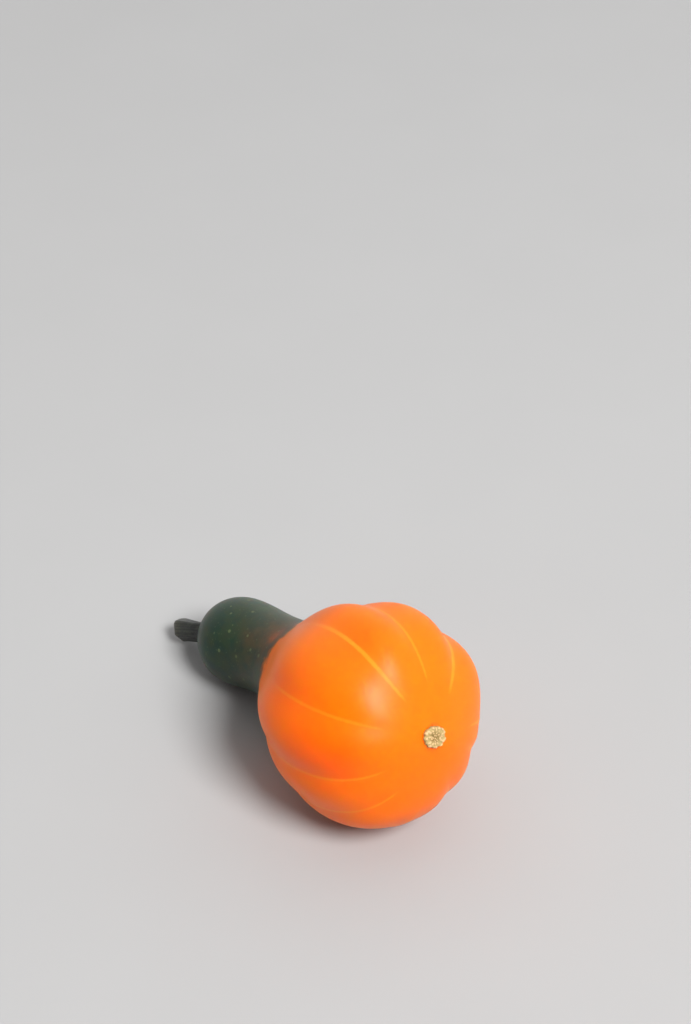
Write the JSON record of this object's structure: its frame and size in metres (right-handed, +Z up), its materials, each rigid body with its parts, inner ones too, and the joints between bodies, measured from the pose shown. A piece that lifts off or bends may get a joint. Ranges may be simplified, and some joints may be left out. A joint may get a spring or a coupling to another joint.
{
  "type": "ornamental gourd",
  "caption": "Small pear-shaped two-coloured ornamental gourd lying on its side: ribbed orange bulb, dark green neck, cut stem and corky blossom scar.",
  "frame": {"origin": "in the small flat spot under the bulb that the fruit rests on", "axes": "+X along the fruit towards the blossom end, +Z up, +Y to the left when looking along +X"},
  "size_m": [0.1456, 0.0783, 0.0784],
  "materials": {
    "gourd_skin": "smooth waxy gourd skin with a soft satin sheen: orange on the bulb with fine golden lines in the grooves, dark green with pale specks on the neck",
    "stem_bark": "dull dark grey-green woody stalk with blunt ridges and a paler cut end",
    "scar_cork": "dry crumbly tan cork"
  },
  "bodies": {
    "root": {"fruit": "gourd_skin", "stem": "stem_bark", "blossom_scar": "scar_cork"}
  },
  "joints": []
}
